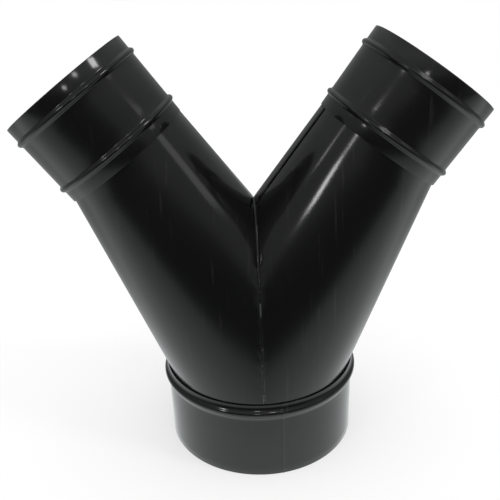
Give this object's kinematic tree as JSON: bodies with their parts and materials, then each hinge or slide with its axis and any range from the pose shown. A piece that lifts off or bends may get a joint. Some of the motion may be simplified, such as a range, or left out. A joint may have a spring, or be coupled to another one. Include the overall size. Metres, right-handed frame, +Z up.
{
  "type": "y-junction",
  "caption": "Y-junction of rolled sheet steel, painted gloss black: a main collar below splits into conical legs that lean apart to smaller beaded collars.",
  "frame": {"origin": "centre of the main collar's lower rim, in the plane it stands on", "axes": "+Z up the main collar's axis, +X across towards the right branch, -Y towards the viewer of the picture"},
  "size_m": [0.3372, 0.156, 0.3138],
  "materials": {
    "black_paint": "smooth gloss black paint on sheet steel",
    "weld_paint": "gloss black paint over a dressed weld, slightly uneven"
  },
  "bodies": {
    "root": {"main_collar": "black_paint", "left_leg": "black_paint", "right_leg": "black_paint", "left_branch_collar": "black_paint", "right_branch_collar": "black_paint", "mitre_weld": "weld_paint"}
  },
  "joints": []
}
